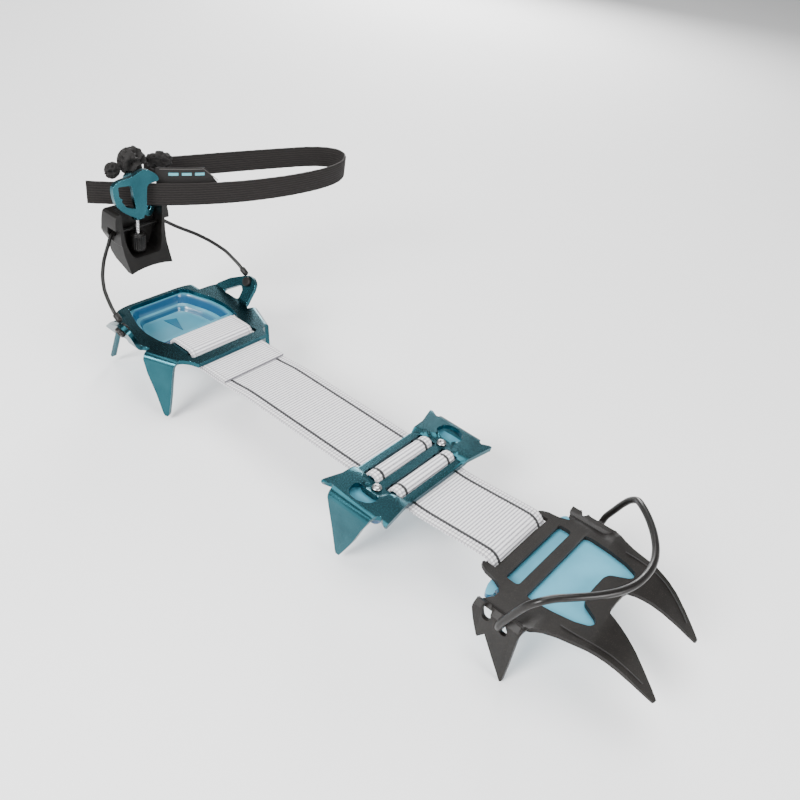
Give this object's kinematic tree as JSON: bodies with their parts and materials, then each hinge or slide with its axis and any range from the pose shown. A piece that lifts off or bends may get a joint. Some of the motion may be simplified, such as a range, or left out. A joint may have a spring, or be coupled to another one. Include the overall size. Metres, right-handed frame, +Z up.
{
  "type": "crampon",
  "caption": "Webbing-linked ski-touring crampon: steel toe plate with wire bail, aluminium middle and heel plates, heel cable lever and ankle strap.",
  "frame": {"origin": "centre of the middle plate's centre bar, on its top face, where the boot sole rests", "axes": "+X across the foot, -Y to the toe, +Y to the heel, +Z up"},
  "size_m": [0.1964, 0.3984, 0.1181],
  "materials": {
    "anodised_teal": "anodised satin",
    "coated_steel": "matte speckled coating",
    "clear_blue_plastic": "translucent",
    "dark_wire": "dark oxide",
    "coated_cable": "plastic-coated steel cable",
    "black_plastic": "fine texture",
    "bright_rod": "bright",
    "grey_rivet": "dull",
    "white_webbing": "woven, with two black lines",
    "black_elastic": "ribbed weave",
    "black_fabric": "soft woven"
  },
  "bodies": {
    "middle": {"middle_plate": "anodised_teal", "middle_antiball": "clear_blue_plastic", "middle_rivet_left": "grey_rivet", "middle_rivet_right": "grey_rivet", "webbing_middle": "white_webbing"},
    "rear_link": {"webbing_rear": "white_webbing"},
    "front_link": {"webbing_front": "white_webbing"},
    "toe": {"toe_plate": "coated_steel", "toe_antiball": "clear_blue_plastic", "webbing_toe": "white_webbing"},
    "bail": {"toe_bail": "dark_wire"},
    "heel": {"heel_plate": "anodised_teal", "heel_antiball": "clear_blue_plastic", "webbing_heel": "white_webbing", "pivot_screw_left": "black_plastic", "pivot_screw_right": "black_plastic"},
    "cable": {"heel_cable": "coated_cable", "cable_end_left": "black_plastic", "cable_end_right": "black_plastic"},
    "lever": {"lever_body": "black_plastic", "strap_anchor": "anodised_teal"},
    "knob": {"adjuster_knob": "black_plastic"},
    "strap": {"adjuster_rod": "bright_rod", "strap_buckle": "anodised_teal", "ankle_strap": "black_elastic", "label_tag": "black_fabric", "strap_bundle_large": "black_fabric", "strap_bundle_small": "black_fabric", "strap_fold": "black_fabric"}
  },
  "joints": [
    {"name": "rear_fold", "type": "hinge", "parent": "middle", "child": "rear_link", "pos_m": [0, 0.03065, -0.0038], "axis": [1, 0, 0], "range_deg": [-60, 60]},
    {"name": "heel_fold", "type": "hinge", "parent": "rear_link", "child": "heel", "pos_m": [0, 0.11225, -0.0053], "axis": [1, 0, 0], "range_deg": [-60, 60]},
    {"name": "front_fold", "type": "hinge", "parent": "middle", "child": "front_link", "pos_m": [0, -0.02135, -0.0038], "axis": [1, 0, 0], "range_deg": [-60, 60]},
    {"name": "toe_fold", "type": "hinge", "parent": "front_link", "child": "toe", "pos_m": [0, -0.05895, -0.0008], "axis": [1, 0, 0], "range_deg": [-60, 60]},
    {"name": "bail_swing", "type": "hinge", "parent": "toe", "child": "bail", "pos_m": [0, -0.08675, -0.0064], "axis": [1, 0, 0], "range_deg": [-80, 25]},
    {"name": "cable_swing", "type": "hinge", "parent": "heel", "child": "cable", "pos_m": [0, 0.17425, 0.0152], "axis": [1, 0, 0], "range_deg": [-25, 60]},
    {"name": "lever_turn", "type": "hinge", "parent": "cable", "child": "lever", "pos_m": [0, 0.21815, 0.0399], "axis": [1, 0, 0], "range_deg": [-30, 35]},
    {"name": "knob_turn", "type": "hinge", "parent": "lever", "child": "knob", "pos_m": [-0.002, 0.21515, 0.0319], "axis": [0, 0, 1], "range_deg": [0, 1440]},
    {"name": "strap_height", "type": "slide", "parent": "lever", "child": "strap", "axis": [0, 0, 1], "range_m": [0, 0.004]}
  ],
  "couplings": [
    {"joint": "knob_turn", "follows": "strap_height", "rad_per_m": 6283.2}
  ]
}
